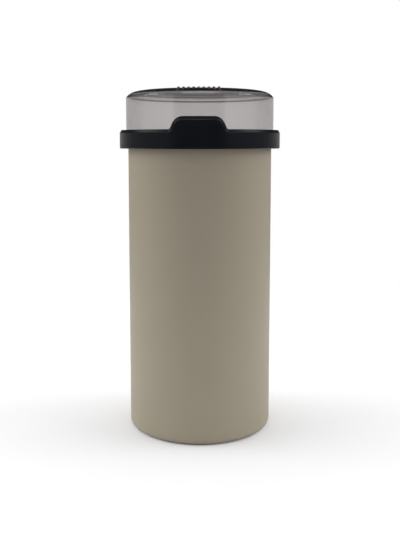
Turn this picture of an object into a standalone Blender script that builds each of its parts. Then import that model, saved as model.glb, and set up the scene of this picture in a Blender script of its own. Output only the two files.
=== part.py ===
"""Rusk storage canister.

A tall round canister holds one roll of rusks. Its lid is a smoked clear dome that snaps into
a dark collar with a thumb tab, and a soft lip seal in the collar closes on the canister's rim.
Inside stands a lifter, a slotted platform on a flat stem, which raises the stack so that the
next rusk can be taken without tipping the canister.

Lengths are in metres, +Z is up. The canister stands on its foot with the origin at the middle
of the foot, and the thumb tab faces -Y. The lid's pieces hang from an empty at the rim, and
the lifter's pieces from an empty on the canister's floor, both on the canister's axis.
"""

import math

import bmesh
import bpy
from mathutils import Matrix, Vector

# Fits
SEAT_GAP = 0.0003
CUT_OVERRUN = 0.0020
MERGE_DISTANCE = 0.00001

# Canister body
BODY_DIAMETER = 0.1040
BODY_HEIGHT = 0.2100
BODY_WALL = 0.0020
RIM_ROUNDING = 0.0008
FLOOR_THICKNESS = 0.0022
FLOOR_ROUNDING = 0.0025
BASE_ROUNDING = 0.0018
FOOT_WIDTH = 0.0060
FOOT_RECESS = 0.0012
FOOT_SLOPE = 0.0010
GATE_DIAMETER = 0.0070
GATE_HEIGHT = 0.0004

# Lip seal
SEAL_FLANGE = 0.0020
SEAL_LEG = 0.0016
SEAL_LEG_DEPTH = 0.0049
SEAL_PLUG = 0.0009
SEAL_PLUG_DEPTH = 0.0027
SEAL_ROUNDING = 0.0003
FIN_COUNT = 2
FIN_HEIGHT = 0.0011
FIN_PITCH = 0.0021

# Smoked dome
DOME_OVERHANG = 0.0014
DOME_WALL = 0.0022
DOME_HEIGHT = 0.0332
CROWN_RISE = 0.0053
CROWN_POWER = 6.4
CROWN_EDGE_POWER = 1.83
DOME_FLANGE_WIDTH = 0.0023
DOME_FLANGE_THICKNESS = 0.0018
MARK_COUNT = 9
MARK_PITCH = 0.0034
MARK_WIDTH = 0.0016
MARK_LENGTH = 0.0030
MARK_HEIGHT = 0.0006
MARK_INSET = 0.0134

# Collar with its thumb tab
COLLAR_WALL = 0.0020
COLLAR_DROP = 0.0059
COLLAR_LEDGE = 0.0025
COLLAR_FLANGE_PLAY = 0.0004
COLLAR_BEVEL = 0.0014
BEVEL_DEPTH = 0.0011
SKIRT_ROUNDING = 0.0005
BORE_ROUNDING = 0.0004
SNAP_BEAD_DEPTH = 0.0008
SNAP_BEAD_HEIGHT = 0.0008
RIB_COUNT = 24
RIB_WIDTH = 0.0012
TAB_TOP_WIDTH = 0.0312
TAB_FOOT_WIDTH = 0.0398
TAB_HEIGHT = 0.0085
TAB_THICKNESS = 0.0024
TAB_SHOULDER = 0.0080
TAB_FOOT_FILLET = 0.0020
TAB_BEVEL = 0.0024

# Lifter
PLATFORM_PLAY = 0.0015
PLATFORM_THICKNESS = 0.0016
PLATFORM_ROUNDING = 0.0005
PAD_COUNT = 4
PAD_DIAMETER = 0.0060
PAD_HEIGHT = 0.0015
PAD_CIRCLE_SHARE = 0.80
SLOT_COUNT = 8
SLOT_LENGTH = 0.0200
SLOT_WIDTH = 0.0030
SLOT_CIRCLE_SHARE = 0.52
STEM_PLAY = 0.0018
STEM_THICKNESS = 0.0018
STEM_WIDTH = 0.0120
STEM_TOP_DROP = 0.0070
STEM_NECK_FILLET = 0.0080
HEAD_WIDTH = 0.0240
HEAD_HEIGHT = 0.0220
HEAD_ROUNDING = 0.0080
FINGER_WIDTH = 0.0150
FINGER_HEIGHT = 0.0100
TONGUE_WIDTH = 0.0100
TONGUE_LENGTH = 0.0120
TONGUE_THICKNESS = 0.0018
GUSSET_HEIGHT = 0.0070
GUSSET_DEPTH = 0.0030
NIB_HEIGHT = 0.0007
NIB_LENGTH = 0.0014
BRIDGE_LENGTH = 0.0055
BRIDGE_WALL = 0.0020
BRIDGE_BAR = 0.0012

# Facets
TURN_STEPS = 64
CROWN_STEPS = 8
BEVEL_STEPS = 3
ARC_STEP = math.radians(24)
TAB_ARC_STEP = math.radians(11)
SHARP_ANGLE = math.radians(32)

# Radii and heights that several pieces share
body_radius = BODY_DIAMETER / 2
mouth_radius = body_radius - BODY_WALL
floor_top = FOOT_RECESS + FLOOR_THICKNESS
dome_radius = body_radius + DOME_OVERHANG
flange_radius = dome_radius + DOME_FLANGE_WIDTH
collar_bore = dome_radius + SEAT_GAP
skirt_radius = flange_radius + COLLAR_FLANGE_PLAY
collar_radius = skirt_radius + COLLAR_WALL
bead_radius = skirt_radius - SNAP_BEAD_DEPTH

# Heights in the lid, above the canister's rim
seal_top = SEAT_GAP + SEAL_FLANGE
dome_foot = seal_top + SEAT_GAP
dome_top = dome_foot + DOME_HEIGHT
flange_top = dome_foot + DOME_FLANGE_THICKNESS
ledge_bottom = flange_top + SEAT_GAP
collar_top = ledge_bottom + COLLAR_LEDGE
collar_bottom = -COLLAR_DROP

# Heights and radii of the lifter, above the canister's floor
platform_radius = mouth_radius - PLATFORM_PLAY
platform_bottom = SEAT_GAP + PAD_HEIGHT
platform_top = platform_bottom + PLATFORM_THICKNESS
stem_bottom = platform_top + SEAT_GAP
stem_top = BODY_HEIGHT - floor_top - STEM_TOP_DROP
stem_outer = mouth_radius - STEM_PLAY
stem_inner = stem_outer - STEM_THICKNESS

for old in list(bpy.data.objects):
    bpy.data.objects.remove(old, do_unlink=True)

parts = bpy.data.collections.new("rusk_canister")
cutters = bpy.data.collections.new("rusk_canister_cutters")
bpy.context.scene.collection.children.link(parts)
bpy.context.scene.collection.children.link(cutters)


def make_material(name, color, roughness, alpha=1.0, transmission=0.0):
    """A plastic or rubber with its colour in linear light."""
    material = bpy.data.materials.new(name)
    material.use_nodes = True
    shader = material.node_tree.nodes["Principled BSDF"]
    shader.inputs["Base Color"].default_value = (*color, 1.0)
    shader.inputs["Roughness"].default_value = roughness
    shader.inputs["Metallic"].default_value = 0.0
    shader.inputs["Alpha"].default_value = alpha
    shader.inputs["Transmission Weight"].default_value = transmission
    return material


def add_part(name, mesh, parent=None):
    """Put a piece of the canister in its collection, under the empty that carries it."""
    part = bpy.data.objects.new(name, mesh)
    parts.objects.link(part)
    part.parent = parent
    return part


def add_cutter(name, mesh, parent=None):
    """Put a shape that cuts or joins a piece with the cutters, out of the render."""
    cutter = bpy.data.objects.new(name, mesh)
    cutters.objects.link(cutter)
    cutter.parent = parent
    cutter.hide_render = True
    cutter.display_type = "WIRE"
    return cutter


def add_axis(name, height):
    """An empty on the canister's axis, which carries the pieces of one moving body."""
    axis = bpy.data.objects.new(name, None)
    axis.location.z = height
    parts.objects.link(axis)
    return axis


def round_corners(corners, closed=False, arc_step=ARC_STEP):
    """Points along (x, y, radius) corners, with an arc of that radius at each corner."""
    points = []
    last = len(corners) - 1
    for index, (x, y, radius) in enumerate(corners):
        corner = Vector((x, y))
        if radius == 0 or (not closed and index in (0, last)):
            points.append(corner)
            continue
        before = (Vector(corners[index - 1][:2]) - corner).normalized()
        after = (Vector(corners[0 if index == last else index + 1][:2]) - corner).normalized()
        half_angle = before.angle(after) / 2
        centre = corner + (before + after).normalized() * (radius / math.sin(half_angle))
        reach = radius / math.tan(half_angle)
        start = (corner + before * reach - centre).normalized()
        end = (corner + after * reach - centre).normalized()
        steps = max(2, math.ceil(start.angle(end) / arc_step))
        points += [centre + start.slerp(end, step / steps) * radius for step in range(steps + 1)]
    return points


def profile_mesh(name, points, closed):
    """A line of (radius, height) points in the XZ plane, ready to be turned."""
    mesh = bpy.data.meshes.new(name)
    edges = [(index, index + 1) for index in range(len(points) - 1)]
    if closed:
        edges.append((len(points) - 1, 0))
    mesh.from_pydata([(radius, 0, height) for radius, height in points], edges, [])
    return mesh


def turn(piece):
    """Turn a profile into a round piece about its own Z axis."""
    screw = piece.modifiers.new("turn", "SCREW")
    screw.axis = "Z"
    screw.angle = math.tau
    screw.steps = TURN_STEPS
    screw.render_steps = TURN_STEPS
    screw.use_merge_vertices = True
    screw.merge_threshold = MERGE_DISTANCE
    screw.use_smooth_shade = True


def combine(piece, cutter, operation):
    """Cut a piece with another shape, or join the two."""
    boolean = piece.modifiers.new(f"{operation} {cutter.name}".lower(), "BOOLEAN")
    boolean.operation = operation
    boolean.solver = "EXACT"
    boolean.object = cutter


def finish(piece, material):
    """Fix the modelled shape, shade its round faces smooth and give it its material."""
    evaluated = piece.evaluated_get(bpy.context.evaluated_depsgraph_get())
    mesh = bpy.data.meshes.new_from_object(evaluated)
    piece.modifiers.clear()
    piece.data = mesh
    mesh.name = piece.name
    mesh.shade_smooth()
    mesh.set_sharp_from_angle(angle=SHARP_ANGLE)
    mesh.materials.clear()
    mesh.materials.append(material)


def add_box(target, low, high, turned=0.0, cut_corners=0.0):
    """Add a box to a bmesh, turned about Z, with its upright edges rounded where asked."""
    size = Vector(high) - Vector(low)
    centre = (Vector(high) + Vector(low)) / 2
    place = Matrix.Rotation(turned, 4, "Z") @ Matrix.Translation(centre) @ Matrix.Diagonal((*size, 1.0))
    corners = bmesh.ops.create_cube(target, size=1.0, matrix=place)["verts"]
    if cut_corners == 0:
        return
    uprights = [
        edge
        for edge in {edge for corner in corners for edge in corner.link_edges}
        if abs((edge.verts[0].co - edge.verts[1].co).normalized().z) > math.cos(SHARP_ANGLE)
    ]
    bmesh.ops.bevel(
        target,
        geom=uprights,
        offset=cut_corners,
        offset_type="OFFSET",
        segments=4,
        profile=0.5,
        affect="EDGES",
    )


def bmesh_to_mesh(name, shape):
    """Write a bmesh into a new mesh."""
    mesh = bpy.data.meshes.new(name)
    shape.to_mesh(mesh)
    shape.free()
    return mesh


def outline_to_mesh(name, points, half_thickness):
    """A flat outline in the XY plane, filled and given its thickness along Z."""
    curve = bpy.data.curves.new(name, "CURVE")
    curve.dimensions = "2D"
    curve.fill_mode = "BOTH"
    curve.extrude = half_thickness
    spline = curve.splines.new("POLY")
    spline.points.add(len(points) - 1)
    for spline_point, point in zip(spline.points, points):
        spline_point.co = (point[0], point[1], 0, 1)
    spline.use_cyclic_u = True
    flat = bpy.data.objects.new(name, curve)
    cutters.objects.link(flat)
    mesh = bpy.data.meshes.new_from_object(flat.evaluated_get(bpy.context.evaluated_depsgraph_get()))
    bpy.data.objects.remove(flat, do_unlink=True)
    bpy.data.curves.remove(curve)
    shape = bmesh.new()
    shape.from_mesh(mesh)
    bpy.data.meshes.remove(mesh)
    bmesh.ops.remove_doubles(shape, verts=shape.verts, dist=MERGE_DISTANCE)
    bmesh.ops.recalc_face_normals(shape, faces=shape.faces)
    return bmesh_to_mesh(name, shape)


def build_body(material):
    """The canister: a straight round wall, a rounded rim, and a floor raised inside its foot."""
    foot_inner = body_radius - BASE_ROUNDING - FOOT_WIDTH
    gate_radius = GATE_DIAMETER / 2
    profile = round_corners([
        (0, floor_top, 0),
        (mouth_radius, floor_top, FLOOR_ROUNDING),
        (mouth_radius, BODY_HEIGHT, RIM_ROUNDING),
        (body_radius, BODY_HEIGHT, RIM_ROUNDING),
        (body_radius, 0, BASE_ROUNDING),
        (foot_inner, 0, 0),
        (foot_inner - FOOT_SLOPE, FOOT_RECESS, 0),
        (gate_radius, FOOT_RECESS, 0),
        (gate_radius, FOOT_RECESS - GATE_HEIGHT, 0),
        (0, FOOT_RECESS - GATE_HEIGHT, 0),
    ])
    body = add_part("canister_body", profile_mesh("canister_body", profile, closed=False))
    turn(body)
    finish(body, material)


def build_seal(material, lid_axis):
    """The lip seal: a flange on the rim, a plug lip inside it and a finned leg outside it."""
    leg_outer = bead_radius - SEAT_GAP
    leg_inner = leg_outer - SEAL_LEG
    fin_tip = body_radius + SEAT_GAP
    plug_outer = mouth_radius - SEAT_GAP
    plug_inner = plug_outer - SEAL_PLUG
    corners = [
        (leg_outer, seal_top, SEAL_ROUNDING),
        (leg_outer, -SEAL_LEG_DEPTH, SEAL_ROUNDING),
        (leg_inner, -SEAL_LEG_DEPTH, 0),
    ]
    for fin in range(FIN_COUNT):
        fin_top = fin * FIN_PITCH + 2 * FIN_HEIGHT - SEAL_LEG_DEPTH
        corners += [
            (leg_inner, fin_top - FIN_HEIGHT, 0),
            (fin_tip, fin_top, 0),
            (leg_inner, fin_top, 0),
        ]
    corners += [
        (leg_inner, SEAT_GAP, 0),
        (plug_outer, SEAT_GAP, 0),
        (plug_outer, -SEAL_PLUG_DEPTH, SEAL_ROUNDING),
        (plug_inner, -SEAL_PLUG_DEPTH, SEAL_ROUNDING),
        (plug_inner, seal_top, SEAL_ROUNDING),
    ]
    profile = round_corners(corners, closed=True, arc_step=math.radians(90))
    seal = add_part("lid_seal", profile_mesh("lid_seal", profile, closed=True), lid_axis)
    turn(seal)
    finish(seal, material)


def crown_height(radius):
    """Height of the dome's outer face at a radius, a flat crown that falls off at its edge."""
    flat_share = 1 - (radius / dome_radius) ** CROWN_POWER
    return dome_top - CROWN_RISE + CROWN_RISE * flat_share ** (1 / CROWN_EDGE_POWER)


def crown_points():
    """The crown's outer face from its middle to its edge, closer together at the edge."""
    points = []
    for step in range(CROWN_STEPS + 1):
        angle = math.radians(90) * step / CROWN_STEPS
        radius = dome_radius * math.sin(angle) ** (2 / CROWN_POWER)
        points.append(Vector((radius, crown_height(min(radius, dome_radius)))))
    return points


def inner_face(points, distance):
    """The line that lies a wall's thickness inside a run of points from the axis outwards."""
    moved = []
    for index, point in enumerate(points):
        ahead = points[min(index + 1, len(points) - 1)]
        behind = points[max(index - 1, 0)]
        along = (ahead - behind).normalized()
        moved.append(point + Vector((along.y, -along.x)) * distance)
    moved[0].x = 0
    return moved


def build_dome(material, lid_axis):
    """The smoked dome: one cup with a flat crown, a foot flange and a short row of grip ribs."""
    inner_wall = dome_radius - DOME_WALL
    outside = crown_points()
    inside = [point for point in inner_face(outside, DOME_WALL) if point.x < inner_wall]
    profile = outside + [
        (dome_radius, flange_top),
        (flange_radius, flange_top),
        (flange_radius, dome_foot),
        (inner_wall, dome_foot),
        (inner_wall, min(point.y for point in inside) - DOME_WALL / 2),
    ] + inside[::-1]
    dome = add_part("lid_dome", profile_mesh("lid_dome", profile, closed=False), lid_axis)
    turn(dome)

    ribs = bmesh.new()
    mark_radius = dome_radius - MARK_INSET
    mark_top = crown_height(mark_radius) + MARK_HEIGHT
    for index in range(MARK_COUNT):
        middle = (index - (MARK_COUNT - 1) / 2) * MARK_PITCH
        low = (middle - MARK_WIDTH / 2, -mark_radius - MARK_LENGTH / 2, mark_top - DOME_WALL)
        high = (middle + MARK_WIDTH / 2, -mark_radius + MARK_LENGTH / 2, mark_top)
        add_box(ribs, low, high)
    rib_row = add_cutter("dome_grip_ribs", bmesh_to_mesh("dome_grip_ribs", ribs), lid_axis)
    combine(dome, rib_row, "UNION")
    finish(dome, material)


def collar_edge():
    """The collar's top edge unrolled, as (distance round, height above the collar's top).

    It runs once round the collar, from the back, and climbs over the tab at its middle.
    """
    foot = TAB_FOOT_WIDTH / 2
    top = TAB_TOP_WIDTH / 2
    flank_angle = math.atan2(TAB_HEIGHT, foot - top)
    tab_end = foot + TAB_FOOT_FILLET * math.tan(flank_angle / 2)
    tab = round_corners(
        [
            (-tab_end - TAB_FOOT_FILLET, 0, 0),
            (-foot, 0, TAB_FOOT_FILLET),
            (-top, TAB_HEIGHT, TAB_SHOULDER),
            (top, TAB_HEIGHT, TAB_SHOULDER),
            (foot, 0, TAB_FOOT_FILLET),
            (tab_end + TAB_FOOT_FILLET, 0, 0),
        ],
        arc_step=TAB_ARC_STEP,
    )
    flat_start = len(tab) // 2 - 1
    facet = math.tau * collar_radius / TURN_STEPS
    flat_steps = max(1, round((tab[flat_start + 1].x - tab[flat_start].x) / facet))
    flat = [tab[flat_start].lerp(tab[flat_start + 1], step / flat_steps) for step in range(1, flat_steps)]
    tab[flat_start + 1:flat_start + 1] = flat
    ring = [facet * (step - TURN_STEPS / 2) for step in range(TURN_STEPS)]
    reach = tab_end + TAB_FOOT_FILLET + facet / 3
    before = [Vector((distance, 0)) for distance in ring if distance < -reach]
    after = [Vector((distance, 0)) for distance in ring if distance > reach]
    return before + tab + after


def collar_rails():
    """The rings of points that the collar is lofted through, each once round the collar.

    The bevel is offset square to the edge's own run, so it keeps its width round the tab,
    where it grows from the collar's bevel to the tab's.
    """
    edge = collar_edge()
    count = len(edge)
    round_the_collar = math.tau * collar_radius
    inward = []
    for index, point in enumerate(edge):
        ahead = edge[(index + 1) % count]
        behind = edge[index - 1]
        run = ahead - behind
        run.x %= round_the_collar
        run.normalize()
        inward.append(Vector((run.y, -run.x)))
    bevels = [COLLAR_BEVEL + (TAB_BEVEL - COLLAR_BEVEL) * point.y / TAB_HEIGHT for point in edge]

    def rail(radius, height=None, inset_share=0.0, lift=0.0):
        """One ring at a radius, at a fixed height or along the edge, inset by a share of the bevel."""
        ring = []
        for point, normal, bevel in zip(edge, inward, bevels):
            moved = point + normal * bevel * inset_share
            angle = moved.x / collar_radius - math.radians(90)
            level = collar_top + moved.y + lift if height is None else height
            ring.append((radius * math.cos(angle), radius * math.sin(angle), level))
        return ring

    bevel_angles = [math.radians(90) * step / BEVEL_STEPS for step in range(BEVEL_STEPS + 1)]
    tab_back = collar_radius - TAB_THICKNESS
    bead_top = dome_foot - SEAT_GAP
    return [
        rail(collar_radius - SKIRT_ROUNDING, height=collar_bottom, inset_share=1.0),
        rail(collar_radius, height=collar_bottom + SKIRT_ROUNDING, inset_share=1.0),
        *[
            rail(collar_radius - BEVEL_DEPTH * (1 - math.cos(angle)), inset_share=1 - math.sin(angle))
            for angle in bevel_angles
        ],
        rail(tab_back),
        rail(tab_back, height=collar_top),
        rail(collar_bore + BORE_ROUNDING, height=collar_top),
        rail(collar_bore, height=collar_top - BORE_ROUNDING),
        rail(collar_bore, height=ledge_bottom),
        rail(skirt_radius, height=ledge_bottom),
        rail(skirt_radius, height=bead_top),
        rail(bead_radius, height=bead_top),
        rail(bead_radius, height=bead_top - SNAP_BEAD_HEIGHT),
        rail(skirt_radius, height=bead_top - SNAP_BEAD_HEIGHT - SNAP_BEAD_DEPTH),
        rail(skirt_radius, height=collar_bottom + SKIRT_ROUNDING),
        rail(skirt_radius + SKIRT_ROUNDING, height=collar_bottom),
    ]


def build_collar(material, lid_axis):
    """The collar: a stepped ring lofted round the lid, with its tab and crush ribs for the seal."""
    shape = bmesh.new()
    rings = [[shape.verts.new(place) for place in ring] for ring in collar_rails()]
    for ring, following in zip(rings, rings[1:] + rings[:1]):
        for index in range(len(ring)):
            beside = (index + 1) % len(ring)
            shape.faces.new((ring[index], ring[beside], following[beside], following[index]))
    bmesh.ops.remove_doubles(shape, verts=shape.verts, dist=MERGE_DISTANCE)
    bmesh.ops.recalc_face_normals(shape, faces=shape.faces)
    collar = add_part("lid_collar", bmesh_to_mesh("lid_collar", shape), lid_axis)

    ribs = bmesh.new()
    rib_top = dome_foot - SEAT_GAP - SNAP_BEAD_HEIGHT / 2
    low = (bead_radius, -RIB_WIDTH / 2, collar_bottom + 2 * SKIRT_ROUNDING)
    high = (skirt_radius + COLLAR_WALL / 2, RIB_WIDTH / 2, rib_top)
    for index in range(RIB_COUNT):
        add_box(ribs, low, high, turned=math.tau * (index + 0.5) / RIB_COUNT)
    crush_ribs = add_cutter("collar_crush_ribs", bmesh_to_mesh("collar_crush_ribs", ribs), lid_axis)
    combine(collar, crush_ribs, "UNION")
    finish(collar, material)


def build_platform(material, lifter_axis):
    """The lifter's platform: a slotted disc on four pads, with a bridge that holds the stem."""
    profile = round_corners([
        (0, platform_top, 0),
        (platform_radius, platform_top, PLATFORM_ROUNDING),
        (platform_radius, platform_bottom, PLATFORM_ROUNDING),
        (0, platform_bottom, 0),
    ])
    platform = add_part("lifter_platform", profile_mesh("lifter_platform", profile, closed=False), lifter_axis)
    turn(platform)

    slots = bmesh.new()
    slot_circle = platform_radius * SLOT_CIRCLE_SHARE
    low = (slot_circle - SLOT_LENGTH / 2, -SLOT_WIDTH / 2, platform_bottom - CUT_OVERRUN)
    high = (slot_circle + SLOT_LENGTH / 2, SLOT_WIDTH / 2, platform_top + CUT_OVERRUN)
    for index in range(SLOT_COUNT):
        turned = math.tau * (index + 0.5) / SLOT_COUNT
        add_box(slots, low, high, turned=turned, cut_corners=SLOT_WIDTH * 0.49)
    crumb_slots = add_cutter("platform_crumb_slots", bmesh_to_mesh("platform_crumb_slots", slots), lifter_axis)
    combine(platform, crumb_slots, "DIFFERENCE")

    pads = bmesh.new()
    pad_circle = platform_radius * PAD_CIRCLE_SHARE
    pad_depth = PAD_HEIGHT + PLATFORM_THICKNESS / 2
    for index in range(PAD_COUNT):
        angle = math.tau * (index + 0.5) / PAD_COUNT
        place = Vector((
            pad_circle * math.cos(angle),
            pad_circle * math.sin(angle),
            SEAT_GAP + pad_depth / 2,
        ))
        bmesh.ops.create_cone(
            pads,
            cap_ends=True,
            segments=16,
            radius1=PAD_DIAMETER / 2,
            radius2=PAD_DIAMETER / 2,
            depth=pad_depth,
            matrix=Matrix.Translation(place),
        )
    floor_pads = add_cutter("platform_pads", bmesh_to_mesh("platform_pads", pads), lifter_axis)
    combine(platform, floor_pads, "UNION")

    bridge_back = stem_inner - GUSSET_DEPTH - SEAT_GAP
    bridge_front = bridge_back - BRIDGE_LENGTH
    slot_top = stem_bottom + TONGUE_THICKNESS + SEAT_GAP
    slot_half = TONGUE_WIDTH / 2 + SEAT_GAP
    arch = bmesh.new()
    low = (-slot_half - BRIDGE_WALL, bridge_front, platform_top - PLATFORM_THICKNESS / 2)
    high = (slot_half + BRIDGE_WALL, bridge_back, slot_top + BRIDGE_BAR)
    add_box(arch, low, high)
    bridge = add_cutter("platform_bridge", bmesh_to_mesh("platform_bridge", arch), lifter_axis)
    passage = bmesh.new()
    low = (-slot_half, bridge_front - CUT_OVERRUN, platform_bottom - CUT_OVERRUN)
    high = (slot_half, bridge_back + CUT_OVERRUN, slot_top)
    add_box(passage, low, high)
    opening = add_cutter("bridge_passage", bmesh_to_mesh("bridge_passage", passage), lifter_axis)
    combine(bridge, opening, "DIFFERENCE")
    combine(platform, bridge, "UNION")
    finish(platform, material)


def build_stem(material, lifter_axis):
    """The lifter's stem: a flat strip curved to the wall, with a finger hole and a snap tongue."""
    tube = [
        (stem_outer, stem_top + CUT_OVERRUN),
        (stem_outer, stem_bottom - CUT_OVERRUN),
        (stem_inner, stem_bottom - CUT_OVERRUN),
        (stem_inner, stem_top + CUT_OVERRUN),
    ]
    stem = add_part("lifter_stem", profile_mesh("lifter_stem", tube, closed=True), lifter_axis)
    turn(stem)

    strip = STEM_WIDTH / 2
    head = HEAD_WIDTH / 2
    neck = stem_top - HEAD_HEIGHT
    outline = round_corners(
        [
            (-strip, stem_bottom, 0),
            (strip, stem_bottom, 0),
            (strip, neck - (head - strip), STEM_NECK_FILLET),
            (head, neck, STEM_NECK_FILLET),
            (head, stem_top, HEAD_ROUNDING),
            (-head, stem_top, HEAD_ROUNDING),
            (-head, neck, STEM_NECK_FILLET),
            (-strip, neck - (head - strip), STEM_NECK_FILLET),
        ],
        closed=True,
    )
    upright = Matrix.Translation((0, stem_outer, 0)) @ Matrix.Rotation(math.radians(90), 4, "X")
    blank_mesh = outline_to_mesh("stem_outline", outline, stem_outer / 2)
    blank_mesh.transform(upright)
    combine(stem, add_cutter("stem_outline", blank_mesh, lifter_axis), "INTERSECT")

    finger_top = stem_top - (HEAD_WIDTH - FINGER_WIDTH) / 2
    finger_round = FINGER_HEIGHT * 0.49
    finger = round_corners(
        [
            (-FINGER_WIDTH / 2, finger_top - FINGER_HEIGHT, finger_round),
            (FINGER_WIDTH / 2, finger_top - FINGER_HEIGHT, finger_round),
            (FINGER_WIDTH / 2, finger_top, finger_round),
            (-FINGER_WIDTH / 2, finger_top, finger_round),
        ],
        closed=True,
    )
    hole_mesh = outline_to_mesh("stem_finger_hole", finger, stem_outer / 2)
    hole_mesh.transform(upright)
    combine(stem, add_cutter("stem_finger_hole", hole_mesh, lifter_axis), "DIFFERENCE")

    tongue_top = stem_bottom + TONGUE_THICKNESS
    tongue_end = stem_inner - TONGUE_LENGTH
    seated = stem_inner + STEM_THICKNESS / 2
    side_view = [
        (seated, stem_bottom),
        (seated, tongue_top + GUSSET_HEIGHT),
        (stem_inner, tongue_top + GUSSET_HEIGHT),
        (stem_inner - GUSSET_DEPTH, tongue_top),
        (tongue_end + NIB_LENGTH, tongue_top),
        (tongue_end + NIB_LENGTH, tongue_top + NIB_HEIGHT),
        (tongue_end, tongue_top),
        (tongue_end, stem_bottom),
    ]
    tongue_mesh = outline_to_mesh("stem_tongue", side_view, TONGUE_WIDTH / 2)
    sideways = Matrix(((0, 0, 1, 0), (1, 0, 0, 0), (0, 1, 0, 0), (0, 0, 0, 1)))
    tongue_mesh.transform(sideways)
    combine(stem, add_cutter("stem_tongue", tongue_mesh, lifter_axis), "UNION")
    finish(stem, material)


taupe = make_material("taupe_matte_plastic", (0.300, 0.262, 0.200), 0.55)
blue_black = make_material("blue_black_satin_plastic", (0.010, 0.012, 0.016), 0.38)
smoked = make_material("smoked_clear_plastic", (0.62, 0.59, 0.58), 0.04, alpha=0.45, transmission=1.0)
silicone = make_material("grey_silicone", (0.16, 0.16, 0.16), 0.60)
lifter_plastic = make_material("warm_white_plastic", (0.72, 0.70, 0.66), 0.42)

lid_axis = add_axis("lid_axis", BODY_HEIGHT)
lifter_axis = add_axis("lifter_axis", floor_top)

build_body(taupe)
build_seal(silicone, lid_axis)
build_dome(smoked, lid_axis)
build_collar(blue_black, lid_axis)
build_platform(lifter_plastic, lifter_axis)
build_stem(lifter_plastic, lifter_axis)
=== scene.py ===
"""Studio view of a rusk storage canister: a taupe canister with its lid, which is a smoked dome
in a dark collar over a soft seal, and the lifter that stands inside.

Lengths are in metres, +Z is up, and the thumb tab faces -Y.
"""

import math

import bmesh
import bpy
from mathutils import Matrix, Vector


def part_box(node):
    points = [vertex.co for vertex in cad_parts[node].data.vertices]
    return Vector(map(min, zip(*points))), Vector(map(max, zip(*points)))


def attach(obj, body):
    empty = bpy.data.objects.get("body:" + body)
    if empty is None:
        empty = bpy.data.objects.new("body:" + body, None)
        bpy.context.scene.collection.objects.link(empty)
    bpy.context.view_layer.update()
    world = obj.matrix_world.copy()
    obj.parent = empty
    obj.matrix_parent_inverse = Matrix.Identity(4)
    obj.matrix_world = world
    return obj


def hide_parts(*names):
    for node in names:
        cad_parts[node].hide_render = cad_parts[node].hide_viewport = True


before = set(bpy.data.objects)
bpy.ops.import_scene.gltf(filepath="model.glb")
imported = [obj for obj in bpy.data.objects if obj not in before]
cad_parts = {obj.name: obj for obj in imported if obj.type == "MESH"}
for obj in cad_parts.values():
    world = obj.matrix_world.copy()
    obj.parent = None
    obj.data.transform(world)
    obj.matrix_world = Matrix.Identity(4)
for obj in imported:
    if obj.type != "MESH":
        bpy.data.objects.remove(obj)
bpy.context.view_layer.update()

# Camera.
# It stands level with the collar and half a metre in front, and looks down a little. The tab is
# turned about a degree to the left of it, as the lid was put on by hand.
camera_distance = 0.543
camera_height = 0.2094
camera_turn = math.radians(0.98)
camera_pitch = math.radians(6.01)

# The sensor and the lens in millimetres, and the shift as a share of the picture's longer side.
camera_sensor = 36.0
camera_lens = 49.93
camera_shift = (0.0004, -0.0893)

camera_data = bpy.data.cameras.new("photo_camera")
camera_data.sensor_width = camera_sensor
camera_data.lens = camera_lens
camera_data.shift_x, camera_data.shift_y = camera_shift
camera = bpy.data.objects.new("photo_camera", camera_data)
camera.location = (
    camera_distance * math.sin(camera_turn),
    -camera_distance * math.cos(camera_turn),
    camera_height,
)
camera.rotation_euler = (math.radians(90) - camera_pitch, 0, camera_turn)
bpy.context.scene.collection.objects.link(camera)
bpy.context.scene.camera = camera

# Studio light.
# White panels stand round the canister and reflection cards hang above its sides and front. The
# room is dim for reflections, with a bright strip round the horizon that is weaker in front.
bpy.context.scene.view_settings.view_transform = "Standard"

# Levels of the room: for diffuse light, for what shows through the dome, and for reflections.
fill_front = 0.46
fill_back = 1.00
through_below = 0.25
through_front = 0.45
through_back = 0.60
through_strip = 0.89
gloss_surround = 0.06
gloss_front = 0.12
gloss_side = 1.05
gloss_back = 0.64

# Where one level fades into the next, along Y or Z of the direction looked in.
horizon = (-0.02, 0.0)
fill_edge = (-0.10, 0.10)
strip_bottom = (-0.055, -0.010)
strip_top = (0.050, 0.130)
front_edge = (-0.81, -0.75)
back_edge = (-0.10, 0.30)

world = bpy.data.worlds.new("studio_room")
world.use_nodes = True
bpy.context.scene.world = world
room_nodes = world.node_tree.nodes
room_links = world.node_tree.links
direction = room_nodes.new("ShaderNodeTexCoord")
axes = room_nodes.new("ShaderNodeSeparateXYZ")
room_links.new(direction.outputs["Generated"], axes.inputs["Vector"])
ray = room_nodes.new("ShaderNodeLightPath")


def fade(axis, reach, low, high):
    """A smooth step of the room's light along one axis of the direction looked in."""
    step = room_nodes.new("ShaderNodeMapRange")
    step.interpolation_type = "SMOOTHSTEP"
    step.inputs["From Min"].default_value = reach[0]
    step.inputs["From Max"].default_value = reach[1]
    step.inputs["To Min"].default_value = low
    step.inputs["To Max"].default_value = high
    room_links.new(axes.outputs[axis], step.inputs["Value"])
    return step.outputs["Result"]


def blend(low, high, share):
    """One level of light or another, each a plain number or the output of a node."""
    mix = room_nodes.new("ShaderNodeMix")
    for socket, level in (("A", low), ("B", high)):
        if isinstance(level, float):
            mix.inputs[socket].default_value = level
        else:
            room_links.new(level, mix.inputs[socket])
    room_links.new(share, mix.inputs["Factor"])
    return mix.outputs["Result"]


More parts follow.
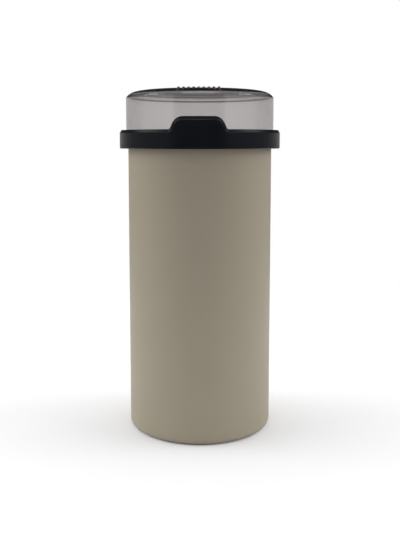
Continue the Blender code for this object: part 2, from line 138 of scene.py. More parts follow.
above_horizon = fade("Z", horizon, 0.0, 1.0)
past_front = fade("Y", front_edge, 0.0, 1.0)
in_strip = blend(0.0, fade("Z", strip_top, 1.0, 0.0), fade("Z", strip_bottom, 0.0, 1.0))
fill = blend(0.0, fade("Y", fill_edge, fill_front, fill_back), above_horizon)
gloss_strip = blend(gloss_front, fade("Y", back_edge, gloss_side, gloss_back), past_front)
gloss = blend(gloss_surround, gloss_strip, in_strip)
through_dome = blend(through_below, blend(through_front, through_back, past_front), above_horizon)
through_dome = blend(through_dome, blend(through_front, through_strip, past_front), in_strip)
light_level = blend(fill, gloss, ray.outputs["Is Glossy Ray"])
light_level = blend(light_level, through_dome, ray.outputs["Is Transmission Ray"])
light_level = blend(light_level, 1.0, ray.outputs["Is Camera Ray"])
room = room_nodes["Background"]
room.inputs["Color"].default_value = (1.0, 1.0, 1.0, 1.0)
room_links.new(light_level, room.inputs["Strength"])

# Each row: name, width and height, place, radiance, and the rays that see the panel. A pair's
# place is that of its right panel, and its radiance is given for the left and the right one.
paired_panels = (
    ("{}_panel", (1.0, 0.6), (1.05, -0.10, 0.90), (3.328, 3.072), "diffuse"),
    ("low_{}_panel", (0.8, 0.4), (1.10, 0.10, 0.30), (1.976, 1.824), "diffuse"),
    ("back_{}_panel", (0.6, 0.8), (0.90, 0.80, 0.50), (0.988, 0.912), "diffuse"),
    ("front_{}_panel", (0.7, 0.5), (0.75, -0.85, 0.90), (0.43, 0.43), "diffuse"),
    ("{}_card", (0.6, 0.6), (0.95, 0.00, 0.95), (2.4, 2.4), "glossy"),
    ("front_{}_card", (0.8, 0.5), (0.75, -0.85, 0.80), (2.2, 2.2), "glossy"),
)
middle_panels = (
    ("front_top_card", (0.7, 0.45), (0.0, -1.15, 0.85), 4.0, "glossy"),
    ("ceiling_card", (0.6, 0.5), (0.0, -0.25, 1.20), 1.8, "glossy"),
)
panel_aim = (0.0, 0.0, 0.12)


def add_panel(name, size, place, radiance, rays):
    """A soft panel that faces the canister, either a "diffuse" light or a "glossy" card."""
    light = bpy.data.lights.new(name, "AREA")
    light.shape = "RECTANGLE"
    light.size, light.size_y = size
    light.energy = radiance * math.pi * size[0] * size[1]
    panel = bpy.data.objects.new(name, light)
    panel.location = place
    panel.rotation_euler = (Vector(panel_aim) - Vector(place)).to_track_quat("-Z", "Y").to_euler()
    panel.visible_camera = False
    panel.visible_transmission = False
    panel.visible_diffuse = rays == "diffuse"
    panel.visible_glossy = rays == "glossy"
    bpy.context.scene.collection.objects.link(panel)


for number, (side, turn) in enumerate((("left", -1), ("right", 1))):
    for name, size, (across, along, up), radiances, rays in paired_panels:
        add_panel(name.format(side), size, (turn * across, along, up), radiances[number], rays)
for row in middle_panels:
    add_panel(*row)

# Floor.
# The white table that the canister stands on, so bright that only the soft shadow round the
# foot shows on it. A trace of blue makes up for the warm light that the canister throws on it.
floor_size = 1.0
floor_color = (0.877, 0.881, 0.893, 1.0)
floor_roughness = 0.85
bpy.ops.object.select_all(action="DESELECT")
bpy.ops.mesh.primitive_plane_add(size=floor_size)
floor = bpy.context.object
floor.name = "studio_floor"
floor_paint = bpy.data.materials.new("white_table")
floor_paint.use_nodes = True
floor_shader = floor_paint.node_tree.nodes["Principled BSDF"]
floor_shader.inputs["Base Color"].default_value = floor_color
floor_shader.inputs["Roughness"].default_value = floor_roughness
floor_shader.inputs["Specular IOR Level"].default_value = 0.0
floor.data.materials.append(floor_paint)

# Canister.
# A straight round cup, injection moulded in matte taupe plastic. Its mould was eroded to a fine
# grain, its rim is rounded, and under its raised floor a flat foot ring runs round a gate mark.
canister_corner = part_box("canister_body")[1]
canister_radius = canister_corner.x
rim_height = canister_corner.z
canister_wall = 0.0020
rim_rounding = 0.0008
floor_top = 0.0034
floor_rounding = 0.0025
base_rounding = 0.0040
foot_width = 0.0038
foot_slope = 0.0010
foot_recess = 0.0012
gate_radius = 0.0035
gate_height = 0.0004
turn_steps = 192
rounding_steps = 6
ring_tolerance = 0.00002
merge_distance = 0.000005
aligned = 0.99
smooth_angle = math.radians(32)
mouth_radius = canister_radius - canister_wall
recess_radius = canister_radius - base_rounding - foot_width - foot_slope


def add_cylinder(radius, bottom, top, steps, distance=0.0):
    """An upright cylinder at a distance from the axis, selected alone, placed in its mesh."""
    bpy.ops.object.select_all(action="DESELECT")
    bpy.ops.mesh.primitive_cylinder_add(
        vertices=steps, radius=radius, depth=top - bottom, location=(distance, 0, (bottom + top) / 2)
    )
    bpy.ops.object.transform_apply(location=True)
    return bpy.context.object


def select_parts(piece, kind, is_wanted):
    """In edit mode, select only the vertices, edges or faces that pass a test."""
    bpy.ops.mesh.select_mode(type=kind)
    bpy.ops.mesh.select_all(action="DESELECT")
    shape = bmesh.from_edit_mesh(piece.data)
    for part in {"VERT": shape.verts, "EDGE": shape.edges, "FACE": shape.faces}[kind]:
        if is_wanted(part):
            part.select_set(True)
    bmesh.update_edit_mesh(piece.data)


def select_flat(piece, direction, height):
    """In edit mode, select the flat faces at a height that look up (1) or down (-1)."""
    def is_flat(face):
        level = face.calc_center_median().z
        return face.normal.z * direction > aligned and abs(level - height) < ring_tolerance

    select_parts(piece, "FACE", is_flat)


def round_rings(piece, rings, rounding):
    """In edit mode, round the edges that run round a piece at (radius, height)."""
    def is_on_ring(edge):
        ends = [(vertex.co.xy.length, vertex.co.z) for vertex in edge.verts]
        return any(all(math.dist(end, ring) < ring_tolerance for end in ends) for ring in rings)

    select_parts(piece, "EDGE", is_on_ring)
    bpy.ops.mesh.bevel(offset=rounding, segments=rounding_steps, affect="EDGES", clamp_overlap=False)


def finish_piece(piece, name, material):
    """Merge a piece's doubles, turn its faces outwards, smooth its round faces and paint it."""
    if piece.mode == "OBJECT":
        bpy.ops.object.mode_set(mode="EDIT")
    bpy.ops.mesh.select_all(action="SELECT")
    bpy.ops.mesh.remove_doubles(threshold=merge_distance)
    bpy.ops.mesh.normals_make_consistent(inside=False)
    bpy.ops.object.mode_set(mode="OBJECT")
    bpy.ops.object.transform_apply(location=True, rotation=True, scale=True)
    bpy.ops.object.shade_smooth_by_angle(angle=smooth_angle)
    weighting = piece.modifiers.new("weighting", "WEIGHTED_NORMAL")
    weighting.keep_sharp = True
    bpy.ops.object.modifier_apply(modifier=weighting.name)
    piece.name = name
    piece.data.name = name
    piece.data.materials.append(material)


canister = add_cylinder(canister_radius, 0, rim_height, turn_steps)
bpy.ops.object.mode_set(mode="EDIT")
select_flat(canister, 1, rim_height)
bpy.ops.mesh.inset(thickness=canister_wall)
bpy.ops.mesh.extrude_region_move(TRANSFORM_OT_translate={"value": (0, 0, floor_top - rim_height)})
select_flat(canister, -1, 0)
bpy.ops.mesh.inset(thickness=base_rounding + foot_width)
bpy.ops.mesh.inset(thickness=foot_slope, depth=-foot_recess)
bpy.ops.mesh.inset(thickness=recess_radius - gate_radius)
bpy.ops.mesh.extrude_region_move(TRANSFORM_OT_translate={"value": (0, 0, -gate_height)})
round_rings(canister, [(canister_radius, rim_height), (mouth_radius, rim_height)], rim_rounding)
round_rings(canister, [(mouth_radius, floor_top)], floor_rounding)
round_rings(canister, [(canister_radius, 0)], base_rounding)

# The two noises that every moulded piece shares: a fine grain and wide soft clouds.
grain_detail = 2.0
cloud_detail = 3.0
grain = bpy.data.node_groups.new("moulded grain", "ShaderNodeTree")
for socket in ("Grain Size", "Cloud Size"):
    grain.interface.new_socket(socket, in_out="INPUT", socket_type="NodeSocketFloat")
for socket in ("Grain", "Clouds"):
    grain.interface.new_socket(socket, in_out="OUTPUT", socket_type="NodeSocketFloat")
sizes_in = grain.nodes.new("NodeGroupInput")
noises_out = grain.nodes.new("NodeGroupOutput")
piece_place = grain.nodes.new("ShaderNodeTexCoord")
for size, detail, output in (
    ("Grain Size", grain_detail, "Grain"),
    ("Cloud Size", cloud_detail, "Clouds"),
):
    per_metre = grain.nodes.new("ShaderNodeMath")
    per_metre.operation = "DIVIDE"
    per_metre.inputs[0].default_value = 1.0
    grain.links.new(sizes_in.outputs[size], per_metre.inputs[1])
    noise = grain.nodes.new("ShaderNodeTexNoise")
    noise.inputs["Detail"].default_value = detail
    grain.links.new(piece_place.outputs["Object"], noise.inputs["Vector"])
    grain.links.new(per_metre.outputs["Value"], noise.inputs["Scale"])
    grain.links.new(noise.outputs["Fac"], noises_out.inputs[output])


def moulded_plastic(name, colors, roughness, grain_size, grain_depth, cloud_size):
    """A moulded plastic or rubber: two close tones in soft clouds, and a fine grain."""
    material = bpy.data.materials.new(name)
    material.use_nodes = True
    nodes = material.node_tree.nodes
    links = material.node_tree.links
    shader = nodes["Principled BSDF"]
    surface = nodes.new("ShaderNodeGroup")
    surface.node_tree = grain
    surface.inputs["Grain Size"].default_value = grain_size
    surface.inputs["Cloud Size"].default_value = cloud_size
    tones = nodes.new("ShaderNodeMix")
    tones.data_type = "RGBA"
    tones.inputs["A"].default_value = (*colors[0], 1.0)
    tones.inputs["B"].default_value = (*colors[1], 1.0)
    links.new(surface.outputs["Clouds"], tones.inputs["Factor"])
    links.new(tones.outputs["Result"], shader.inputs["Base Color"])
    sheen = nodes.new("ShaderNodeMapRange")
    sheen.inputs["To Min"].default_value = roughness[0]
    sheen.inputs["To Max"].default_value = roughness[1]
    links.new(surface.outputs["Clouds"], sheen.inputs["Value"])
    links.new(sheen.outputs["Result"], shader.inputs["Roughness"])
    bump = nodes.new("ShaderNodeBump")
    bump.inputs["Distance"].default_value = grain_depth
    links.new(surface.outputs["Grain"], bump.inputs["Height"])
    links.new(bump.outputs["Normal"], shader.inputs["Normal"])
    return material


taupe = moulded_plastic(
    "matte_taupe_plastic",
    colors=((0.318, 0.277, 0.204), (0.302, 0.263, 0.192)),
    roughness=(0.50, 0.58),
    grain_size=0.0004,
    grain_depth=0.00004,
    cloud_size=0.03,
)
finish_piece(canister, "taupe_canister", taupe)
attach(canister, "canister")
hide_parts("canister_body")

# Platform of the lifter.
# A disc of warm white plastic under the stack, with eight slots that let crumbs through and
# four pads that stand on the canister's floor. The bridge at the back takes the stem's tongue.
platform_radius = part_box("lifter_platform")[1].x
platform_thickness = 0.0016
platform_rounding = 0.0005
seat_gap = 0.0003
pad_height = 0.0015
pad_radius = 0.0030
pad_circle = 0.80 * platform_radius
pad_count = 4
pad_steps = 48
crumb_slot_count = 8
crumb_slot_length = 0.0200
crumb_slot_width = 0.0030
crumb_slot_circle = 0.52 * platform_radius
cut_overrun = 0.0020
bridge_front = 0.0376
bridge_length = 0.0055
bridge_wall = 0.0020
bridge_bar = 0.0012
bridge_rounding = 0.0003
tongue_width = 0.0100
tongue_thickness = 0.0018
edge_steps = 3
full_round = 0.98
platform_bottom = floor_top + seat_gap + pad_height
platform_top = platform_bottom + platform_thickness
platform_middle = platform_bottom + platform_thickness / 2
tongue_bottom = platform_top + seat_gap
passage_top = tongue_bottom + tongue_thickness + seat_gap
passage_half = tongue_width / 2 + seat_gap


def add_block(low, high):
    """A box between two corners, selected alone, with its place and size in its mesh."""
    bpy.ops.object.select_all(action="DESELECT")
    bpy.ops.mesh.primitive_cube_add(size=1, location=(Vector(high) + Vector(low)) / 2)
    block = bpy.context.object
    block.scale = Vector(high) - Vector(low)
    bpy.ops.object.transform_apply(location=True, scale=True)
    return block


def round_block(block, axis, rounding, steps):
    """Round the edges of a block that run along one axis."""
    def runs_along(edge):
        run = (edge.verts[0].co - edge.verts[1].co).normalized()
        return abs(run["xyz".index(axis)]) > aligned

    bpy.ops.object.mode_set(mode="EDIT")
    select_parts(block, "EDGE", runs_along)
    bpy.ops.mesh.bevel(offset=rounding, segments=steps, affect="EDGES")
    bpy.ops.object.mode_set(mode="OBJECT")


def repeat_round(first, count):
    """Copy a shape round the canister's axis, half a step on, and join the copies into one."""
    copies = []
    for index in range(count):
        turned = first.copy()
        turned.data = first.data.copy()
        turned.rotation_euler.z = math.pi / count + math.tau * index / count
        bpy.context.scene.collection.objects.link(turned)
        copies.append(turned)
    bpy.data.objects.remove(first)
    bpy.ops.object.select_all(action="DESELECT")
    for turned in copies:
        turned.select_set(True)
    bpy.context.view_layer.objects.active = copies[0]
    bpy.ops.object.transform_apply(rotation=True)
    bpy.ops.object.join()
    return bpy.context.object


def combine(piece, tool, operation):
    """Cut a piece with a tool shape or join the two, and take the tool away."""
    boolean = piece.modifiers.new("combine", "BOOLEAN")
    boolean.operation = operation
    boolean.solver = "EXACT"
    boolean.object = tool
    bpy.ops.object.select_all(action="DESELECT")
    piece.select_set(True)
    bpy.context.view_layer.objects.active = piece
    bpy.ops.object.modifier_apply(modifier=boolean.name)
    bpy.data.objects.remove(tool)


platform = add_cylinder(platform_radius, platform_bottom, platform_top, turn_steps)
bpy.ops.object.mode_set(mode="EDIT")
platform_rims = [(platform_radius, platform_bottom), (platform_radius, platform_top)]
round_rings(platform, platform_rims, platform_rounding)
bpy.ops.object.mode_set(mode="OBJECT")

# The slots' ends are round. Rounding a hair less than the half width keeps their arcs apart.
half_slot = crumb_slot_width / 2
crumb_slot = add_block(
    (crumb_slot_circle - crumb_slot_length / 2, -half_slot, platform_bottom - cut_overrun),
    (crumb_slot_circle + crumb_slot_length / 2, half_slot, platform_top + cut_overrun),
)
round_block(crumb_slot, "z", full_round * half_slot, rounding_steps)
combine(platform, repeat_round(crumb_slot, crumb_slot_count), "DIFFERENCE")
pad = add_cylinder(pad_radius, floor_top + seat_gap, platform_middle, pad_steps, pad_circle)
combine(platform, repeat_round(pad, pad_count), "UNION")

bridge = add_block(
    (-passage_half - bridge_wall, bridge_front, platform_middle),
    (passage_half + bridge_wall, bridge_front + bridge_length, passage_top + bridge_bar),
)
round_block(bridge, "y", bridge_rounding, edge_steps)
passage = add_block(
    (-passage_half, bridge_front - cut_overrun, platform_bottom - cut_overrun),
    (passage_half, bridge_front + bridge_length + cut_overrun, passage_top),
)
combine(bridge, passage, "DIFFERENCE")
combine(platform, bridge, "UNION")

warm_white = moulded_plastic(
    "warm_white_plastic",
    colors=((0.74, 0.72, 0.68), (0.70, 0.68, 0.64)),
    roughness=(0.36, 0.46),
    grain_size=0.0008,
    grain_depth=0.00002,
    cloud_size=0.03,
)
finish_piece(platform, "slotted_platform", warm_white)
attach(platform, "lifter")
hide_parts("lifter_platform")

# Stem of the lifter.
# A thin strip of the same plastic, curved to stand along the canister's wall. A finger pulls it
# up by the hole in its head, and its tongue snaps under the platform's bridge with a small nib.
stem_play = 0.0018
stem_thickness = 0.0018
stem_width = 0.0120
stem_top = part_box("lifter_stem")[1].z
head_width = 0.0240
head_height = 0.0220
head_rounding = 0.0080
neck_fillet = 0.0080
finger_width = 0.0150
finger_height = 0.0100
tongue_length = 0.0120
gusset_height = 0.0070
gusset_depth = 0.0030
nib_height = 0.0007
nib_length = 0.0014
stem_edge = 0.0003
bend_step = 0.0010
square_turn = math.radians(90)
neck_turn = math.radians(45)
sharp_angle = math.radians(60)
straight_angle = math.radians(1)
stem_outer = mouth_radius - stem_play
stem_middle = stem_outer - stem_thickness / 2
stem_inner = stem_outer - stem_thickness
half_stem = stem_width / 2
half_head = head_width / 2
half_tongue = tongue_width / 2
neck_top = stem_top - head_height
neck_bottom = neck_top - (half_head - half_stem)
finger_top = stem_top - (head_width - finger_width) / 2
tongue_top = tongue_bottom + tongue_thickness
tongue_middle = tongue_bottom + tongue_thickness / 2
tongue_tip = stem_inner - tongue_length


def round_outline(piece, corners):
    """In edit mode, round the corners of a flat outline, given as (x, z, radius, turn)."""
    for x, z, radius, turn in corners:
        def is_corner(vertex):
            return math.dist((abs(vertex.co.x), vertex.co.z), (x, z)) < ring_tolerance

        select_parts(piece, "VERT", is_corner)
        bpy.ops.mesh.bevel(
            offset=radius * math.tan(turn / 2), offset_type="OFFSET", segments=2 * rounding_steps,
            affect="VERTICES", clamp_overlap=False,
        )


def soften_edges(piece, rounding):
    """Round all the sharp edges of a piece a little."""
    softened = piece.modifiers.new("softened", "BEVEL")
    softened.width = rounding
    softened.segments = edge_steps
    softened.angle_limit = sharp_angle
    bpy.ops.object.modifier_apply(modifier=softened.name)


def is_neck_bottom(edge):
    """Whether an edge lies at the height where the strip starts to widen into its head."""
    return all(abs(vertex.co.z - neck_bottom) < ring_tolerance for vertex in edge.verts)


bpy.ops.object.select_all(action="DESELECT")
bpy.ops.mesh.primitive_plane_add(
    size=1, location=(0, -stem_middle, (tongue_bottom + neck_bottom) / 2),
    rotation=(square_turn, 0, 0),
)
stem = bpy.context.object
stem.scale = (stem_width, neck_bottom - tongue_bottom, 1)
bpy.ops.object.transform_apply(location=True, rotation=True, scale=True)
bpy.ops.object.mode_set(mode="EDIT")
select_parts(stem, "EDGE", is_neck_bottom)
bpy.ops.mesh.extrude_region_move(TRANSFORM_OT_translate={"value": (0, 0, neck_top - neck_bottom)})
bpy.ops.transform.resize(value=(head_width / stem_width, 1, 1))
bpy.ops.mesh.extrude_region_move(TRANSFORM_OT_translate={"value": (0, 0, head_height)})
bpy.ops.mesh.select_all(action="SELECT")
bpy.ops.mesh.dissolve_limited(angle_limit=straight_angle)
round_outline(stem, [
    (half_head, stem_top, head_rounding, square_turn),
    (half_head, neck_top, neck_fillet, neck_turn),
    (half_stem, neck_bottom, neck_fillet, neck_turn),
])
bpy.ops.object.mode_set(mode="OBJECT")
thickness = stem.modifiers.new("thickness", "SOLIDIFY")
thickness.thickness = stem_thickness
thickness.offset = 0
bpy.ops.object.modifier_apply(modifier=thickness.name)
finger_hole = add_block(
    (-finger_width / 2, -stem_middle - stem_thickness, finger_top - finger_height),
    (finger_width / 2, -stem_middle + stem_thickness, finger_top),
)
round_block(finger_hole, "y", full_round * finger_height / 2, 2 * rounding_steps)
combine(stem, finger_hole, "DIFFERENCE")
soften_edges(stem, stem_edge)

# The flat strip is cut into upright slices and bent round the axis, to stand at the back wall.
slice_count = round(half_head / bend_step)
bpy.ops.object.mode_set(mode="EDIT")
for index in range(-slice_count, slice_count + 1):
    bpy.ops.mesh.select_all(action="SELECT")
    bpy.ops.mesh.bisect(plane_co=(index * bend_step, 0, 0), plane_no=(1, 0, 0))
bpy.ops.object.mode_set(mode="OBJECT")
for vertex in stem.data.vertices:
    bend = vertex.co.x / stem_middle
    radius = -vertex.co.y
    vertex.co.x = radius * math.sin(bend)
    vertex.co.y = radius * math.cos(bend)

# The gusset and the nib are blocks with one upper edge drawn in, which makes them wedges.
tongue = add_block((-half_tongue, tongue_tip, tongue_bottom), (half_tongue, stem_middle, tongue_top))
gusset = add_block(
    (-half_tongue, stem_inner - gusset_depth, tongue_middle),
    (half_tongue, stem_middle, tongue_top + gusset_height),
)
for vertex in gusset.data.vertices:
    if vertex.co.y < stem_inner and vertex.co.z > tongue_top:
        vertex.co.y = stem_inner
nib = add_block(
    (-half_tongue, tongue_tip, tongue_middle),
    (half_tongue, tongue_tip + nib_length, tongue_top + nib_height),
)
for vertex in nib.data.vertices:
    if vertex.co.y < tongue_tip + nib_length / 2 and vertex.co.z > tongue_top:
        vertex.co.z = tongue_top
combine(tongue, gusset, "UNION")
combine(tongue, nib, "UNION")
combine(stem, tongue, "UNION")
finish_piece(stem, "lifter_strip", warm_white)
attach(stem, "lifter")
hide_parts("lifter_stem")

# Lip seal.
# A ring of matte grey silicone under the dome's foot. Its flange lies on the rim, its lip
# plugs the mouth, and two fins on its leg press on the canister from outside.
seal_flange = 0.0020
seal_leg = 0.0016
seal_leg_depth = 0.0049
seal_plug = 0.0009
seal_plug_depth = 0.0027
seal_rounding = 0.0003
fin_count = 2
fin_height = 0.0011
fin_pitch = 0.0021
leg_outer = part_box("lid_seal")[1].x
leg_inner = leg_outer - seal_leg
leg_bottom = rim_height - seal_leg_depth
fin_tip = canister_radius + seat_gap
plug_outer = mouth_radius - seat_gap
plug_inner = plug_outer - seal_plug
plug_bottom = rim_height - seal_plug_depth
flange_bottom = rim_height + seat_gap
seal_top = flange_bottom + seal_flange


def turn_profile(profile):
    """A round shape, left in edit mode: a circle, extruded and scaled from ring to ring."""
    bpy.ops.object.select_all(action="DESELECT")
    radius, height = profile[0]
    bpy.ops.mesh.primitive_circle_add(vertices=turn_steps, radius=radius, location=(0, 0, height))
    turned = bpy.context.object
    bpy.ops.object.transform_apply(location=True)
    bpy.ops.object.mode_set(mode="EDIT")
    for next_radius, next_height in profile[1:]:
        bpy.ops.mesh.extrude_region_move(
            TRANSFORM_OT_translate={"value": (0, 0, next_height - height)}
        )
        share = next_radius / radius
        bpy.ops.transform.resize(value=(share, share, 1), center_override=(0, 0, next_height))
        radius, height = next_radius, next_height
    return turned


fins = []
for index in range(fin_count):
    fin_top = leg_bottom + index * fin_pitch + 2 * fin_height
    fins += [(leg_inner, fin_top - fin_height), (fin_tip, fin_top), (leg_inner, fin_top)]
outer_corners = [(leg_outer, seal_top), (leg_outer, leg_bottom)]
plug_corners = [(plug_outer, plug_bottom), (plug_inner, plug_bottom), (plug_inner, seal_top)]
seal = turn_profile([
    *outer_corners,
    (leg_inner, leg_bottom),
    *fins,
    (leg_inner, flange_bottom),
    (plug_outer, flange_bottom),
    *plug_corners,
    outer_corners[0],
])
bpy.ops.mesh.select_all(action="SELECT")
bpy.ops.mesh.remove_doubles(threshold=merge_distance)
bpy.ops.mesh.normals_make_consistent(inside=False)
round_rings(seal, [*outer_corners, *plug_corners], seal_rounding)
silicone = moulded_plastic(
    "grey_silicone",
    colors=((0.165, 0.165, 0.168), (0.150, 0.150, 0.152)),
    roughness=(0.58, 0.70),
    grain_size=0.0002,
    grain_depth=0.00001,
    cloud_size=0.012,
)
finish_piece(seal, "lip_seal", silicone)
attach(seal, "lid")
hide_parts("lid_seal")

# Smoked dome.
# A cup of clear smoked plastic turned upside down, with a thick flat crown, a small inner corner
# and a flange at its foot that snaps into the collar. Nine short grip ribs stand on the crown.
dome_overhang = 0.0014
dome_wall = 0.0022
dome_rise = 0.0328
dome_flange_thickness = 0.0018
crown_rise = 0.0055
crown_power = 12.0
crown_edge_power = 1.3
crown_steps = 28
inner_crown_drop = 0.0033
inner_corner = 0.0026
inner_corner_steps = 2 * rounding_steps
grip_rib_count = 9
grip_rib_pitch = 0.0034
grip_rib_width = 0.0016
grip_rib_length = 0.0030
grip_rib_height = 0.0006
grip_rib_inset = 0.0134
grip_rib_arc = 0.0014
grip_rib_rounding = 0.0002
refractive_index = 1.57
smoke_color = (0.175, 0.115, 0.100, 1.0)
smoke_density = 200.0
polish_roughness = (0.03, 0.05)
polish_cloud_size = 0.02
dome_radius = canister_radius + dome_overhang
dome_inner = dome_radius - dome_wall
dome_flange_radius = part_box("lid_dome")[1].x
dome_foot = seal_top + seat_gap
dome_flange_top = dome_foot + dome_flange_thickness
dome_top = dome_foot + dome_rise
inner_crown_height = dome_top - inner_crown_drop
inner_crown_radius = dome_inner - inner_corner


def crown_height(radius):
    """Height of the crown's outer face at a radius: flat, and falling off at its edge."""
    flat_share = 1 - min(1, radius / dome_radius) ** crown_power
    return dome_top - crown_rise + crown_rise * flat_share ** (1 / crown_edge_power)


outer_crown = []
for step in range(1, crown_steps + 1):
    angle = square_turn * step / crown_steps
    radius = dome_radius * math.sin(angle) ** (2 / crown_power)
    outer_crown.append((radius, crown_height(radius)))
inner_crown = []
for step in range(1, crown_steps + 1):
    inner_crown.append((inner_crown_radius * step / crown_steps, inner_crown_height))
for step in range(1, inner_corner_steps + 1):
    angle = square_turn * step / inner_corner_steps
    radius = inner_crown_radius + inner_corner * math.sin(angle)
    inner_crown.append((radius, inner_crown_height - inner_corner * (1 - math.cos(angle))))
dome = turn_profile([
    *outer_crown,
    (dome_radius, dome_flange_top),
    (dome_flange_radius, dome_flange_top),
    (dome_flange_radius, dome_foot),
    (dome_inner, dome_foot),
    *inner_crown[::-1],
])

# The crown's two faces are closed in the middle, first the inner one, then the outer one.
bpy.ops.mesh.edge_face_add()
select_parts(dome, "EDGE", lambda edge: edge.is_boundary)
bpy.ops.mesh.edge_face_add()
bpy.ops.object.mode_set(mode="OBJECT")

grip_rib_radius = dome_radius - grip_rib_inset
grip_rib_top = crown_height(grip_rib_radius) + grip_rib_height
grip_rib_bottom = grip_rib_top - 2 * grip_rib_arc
for index in range(grip_rib_count):
    middle = (index - (grip_rib_count - 1) / 2) * grip_rib_pitch
    grip_rib = add_block(
        (middle - grip_rib_width / 2, -grip_rib_radius - grip_rib_length / 2, grip_rib_bottom),
        (middle + grip_rib_width / 2, -grip_rib_radius + grip_rib_length / 2, grip_rib_top),
    )
    round_block(grip_rib, "x", full_round * grip_rib_arc, 2 * rounding_steps)
    soften_edges(grip_rib, grip_rib_rounding)
    combine(dome, grip_rib, "UNION")

smoked = bpy.data.materials.new("smoked_clear_plastic")
smoked.use_nodes = True
smoked_nodes = smoked.node_tree.nodes
smoked_links = smoked.node_tree.links
smoked_shader = smoked_nodes["Principled BSDF"]
smoked_shader.inputs["Base Color"].default_value = (1.0, 1.0, 1.0, 1.0)
smoked_shader.inputs["Transmission Weight"].default_value = 1.0
smoked_shader.inputs["IOR"].default_value = refractive_index
polish_surface = smoked_nodes.new("ShaderNodeGroup")
polish_surface.node_tree = grain
polish_surface.inputs["Cloud Size"].default_value = polish_cloud_size
polish = smoked_nodes.new("ShaderNodeMapRange")
polish.inputs["To Min"].default_value = polish_roughness[0]
polish.inputs["To Max"].default_value = polish_roughness[1]
smoked_links.new(polish_surface.outputs["Clouds"], polish.inputs["Value"])
smoked_links.new(polish.outputs["Result"], smoked_shader.inputs["Roughness"])
smoke = smoked_nodes.new("ShaderNodeVolumeAbsorption")
smoke.inputs["Color"].default_value = smoke_color
smoke.inputs["Density"].default_value = smoke_density
smoked_links.new(smoke.outputs["Volume"], smoked_nodes["Material Output"].inputs["Volume"])
finish_piece(dome, "clear_dome", smoked)
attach(dome, "lid")
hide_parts("lid_dome")

# Collar with its thumb tab.
# A stepped ring of satin blue-black plastic that snaps over the dome's flange and grips the
# seal against the canister. The thumb tab rises from it with one bevel round its whole edge.
collar_wall = 0.0020
collar_drop = 0.0059
collar_ledge = 0.0025
collar_bevel = 0.0022
collar_specular = 0.20
flange_play = 0.0004
bevel_depth = 0.0011
bevel_start = 1.3
bevel_corner = 0.94
bevel_rounding = 0.40
skirt_rounding = 0.0005
bore_rounding = 0.0004
snap_bead_depth = 0.0008
snap_bead_height = 0.0008
crush_rib_count = 24
crush_rib_width = 0.0012
tab_top_width = 0.0312
tab_foot_width = 0.0398
tab_height = 0.0085
tab_thickness = 0.0024
tab_shoulder = 0.0080
tab_foot_fillet = 0.0020
tab_bevel = 0.0024
collar_steps = 224
arc_step = math.radians(4)
collar_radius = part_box("lid_collar")[1].x
collar_length = math.tau * collar_radius
facet = collar_length / collar_steps
skirt_radius = dome_flange_radius + flange_play
bead_radius = skirt_radius - snap_bead_depth
bead_top = dome_foot - seat_gap
bead_bottom = bead_top - snap_bead_height
collar_bore = dome_radius + seat_gap
ledge_bottom = dome_flange_top + seat_gap
collar_top = ledge_bottom + collar_ledge
collar_bottom = rim_height - collar_drop
tab_back = collar_radius - tab_thickness
half_foot = tab_foot_width / 2
half_top = tab_top_width / 2
flank_angle = math.atan2(tab_height, half_foot - half_top)
tab_reach = half_foot + tab_foot_fillet * (1 + math.tan(flank_angle / 2))


def round_corners(corners):
    """Points along (x, y, radius) corners, with an arc of that radius at each corner."""
    points = [Vector(corners[0][:2])]
    for behind, (x, y, radius), ahead in zip(corners, corners[1:], corners[2:]):
        corner = Vector((x, y))
        before = (Vector(behind[:2]) - corner).normalized()
        after = (Vector(ahead[:2]) - corner).normalized()
        half_angle = before.angle(after) / 2
        centre = corner + (before + after).normalized() * (radius / math.sin(half_angle))
        reach = radius / math.tan(half_angle)
        start = (corner + before * reach - centre).normalized()
        end = (corner + after * reach - centre).normalized()
        steps = max(2, math.ceil(start.angle(end) / arc_step))
        points += [centre + start.slerp(end, step / steps) * radius for step in range(steps + 1)]
    return points + [Vector(corners[-1][:2])]


# The tab's edge, unrolled: x runs round the collar and y is the height above the ring. Its flat
# top gets as many points as the ring has in that length.
tab_edge = round_corners([
    (-tab_reach, 0, 0),
    (-half_foot, 0, tab_foot_fillet),
    (-half_top, tab_height, tab_shoulder),
    (half_top, tab_height, tab_shoulder),
    (half_foot, 0, tab_foot_fillet),
    (tab_reach, 0, 0),
])
flat_start = len(tab_edge) // 2 - 1
flat_run = tab_edge[flat_start + 1] - tab_edge[flat_start]
flat_steps = round(flat_run.x / facet)
tab_edge[flat_start + 1:flat_start + 1] = [
    tab_edge[flat_start] + flat_run * step / flat_steps for step in range(1, flat_steps)
]

# The whole edge line: the tab's edge, and the ring's own points that stand clear of it.
clear_of_tab = tab_reach + facet / 3
ring_places = [facet * (step - collar_steps / 2) for step in range(collar_steps)]
edge_line = [
    *[Vector((place, 0)) for place in ring_places if place < -clear_of_tab],
    *tab_edge,
    *[Vector((place, 0)) for place in ring_places if place > clear_of_tab],
]

# From each point of the edge line, the bevel's way inwards, square to the line. It grows from
# the ring's bevel at the foot of the tab to the tab's own at the top.
bevel_run = []
for index, point in enumerate(edge_line):
    run = edge_line[(index + 1) % len(edge_line)] - edge_line[index - 1]
    run.x %= collar_length
    run.normalize()
    bevel = collar_bevel + (tab_bevel - collar_bevel) * point.y / tab_height
    bevel_run.append(Vector((run.y, -run.x)) * bevel)


def rail_point(index, radius, height, inset_share):
    """A point at a radius, at a fixed height or on the edge line, inset by a share of the bevel."""
    moved = edge_line[index] + bevel_run[index] * inset_share
    angle = moved.x / collar_radius - square_turn
    level = collar_top + moved.y if height is None else height
    return radius * math.cos(angle), radius * math.sin(angle), level


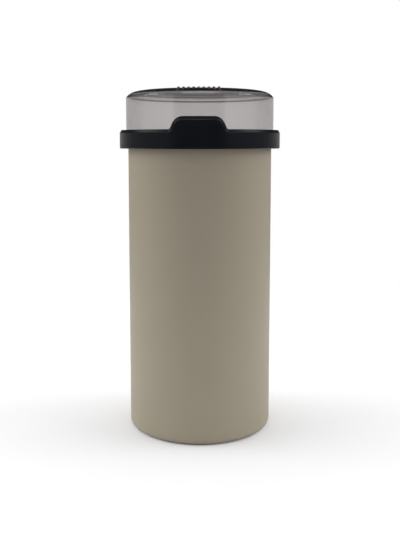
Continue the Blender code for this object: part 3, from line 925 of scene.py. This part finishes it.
# The bevel's section in shares of its height and depth, with its lower corner rounded. The point
# that it starts from lies under the bevel and is left off. The rails run from the collar's lower
# edge up its outside, over the bevel and down through the bore.
bevel_section = round_corners([(bevel_start, 0, 0), (bevel_corner, 0, bevel_rounding), (0, 1, 0)])[1:]
bevel_foot = bevel_section[0].x
rails = [
    (collar_radius - skirt_rounding, collar_bottom, bevel_foot),
    (collar_radius, collar_bottom + skirt_rounding, bevel_foot),
    *[(collar_radius - bevel_depth * point.y, None, point.x) for point in bevel_section],
    (tab_back, None, 0.0),
    (tab_back, collar_top, 0.0),
    (collar_bore + bore_rounding, collar_top, 0.0),
    (collar_bore, collar_top - bore_rounding, 0.0),
    (collar_bore, ledge_bottom, 0.0),
    (skirt_radius, ledge_bottom, 0.0),
    (skirt_radius, bead_top, 0.0),
    (bead_radius, bead_top, 0.0),
    (bead_radius, bead_bottom, 0.0),
    (skirt_radius, bead_bottom - snap_bead_depth, 0.0),
    (skirt_radius, collar_bottom + skirt_rounding, 0.0),
    (skirt_radius + skirt_rounding, collar_bottom, 0.0),
    (collar_radius - skirt_rounding, collar_bottom, bevel_foot),
]

# A ring of points, one for each point of the edge line, is extruded from rail to rail.
bpy.ops.object.select_all(action="DESELECT")
bpy.ops.mesh.primitive_circle_add(vertices=len(edge_line), radius=collar_radius)
collar = bpy.context.object
bpy.ops.object.mode_set(mode="EDIT")
shape = bmesh.from_edit_mesh(collar.data)
station = shape.verts.layers.int.new("station")
for index, vertex in enumerate(shape.verts):
    vertex[station] = index
for number, (radius, height, inset_share) in enumerate(rails):
    if number > 0:
        bpy.ops.mesh.extrude_region_move()
    shape = bmesh.from_edit_mesh(collar.data)
    station = shape.verts.layers.int["station"]
    for vertex in shape.verts:
        if vertex.select:
            vertex.co = rail_point(vertex[station], radius, height, inset_share)
    bmesh.update_edit_mesh(collar.data)
bpy.ops.mesh.select_all(action="SELECT")
bpy.ops.mesh.remove_doubles(threshold=merge_distance)
bpy.ops.mesh.normals_make_consistent(inside=False)
bpy.ops.object.mode_set(mode="OBJECT")
collar.data.attributes.remove(collar.data.attributes["station"])

crush_rib = add_block(
    (bead_radius, -crush_rib_width / 2, collar_bottom + 2 * skirt_rounding),
    (skirt_radius + collar_wall / 2, crush_rib_width / 2, bead_top - snap_bead_height / 2),
)
combine(collar, repeat_round(crush_rib, crush_rib_count), "UNION")
blue_black = moulded_plastic(
    "satin_blue_black_plastic",
    colors=((0.0016, 0.0034, 0.0066), (0.0014, 0.0030, 0.0058)),
    roughness=(0.28, 0.34),
    grain_size=0.0003,
    grain_depth=0.00001,
    cloud_size=0.02,
)
collar_shader = blue_black.node_tree.nodes["Principled BSDF"]
collar_shader.inputs["Specular IOR Level"].default_value = collar_specular
finish_piece(collar, "tabbed_collar", blue_black)
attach(collar, "lid")
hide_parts("lid_collar")
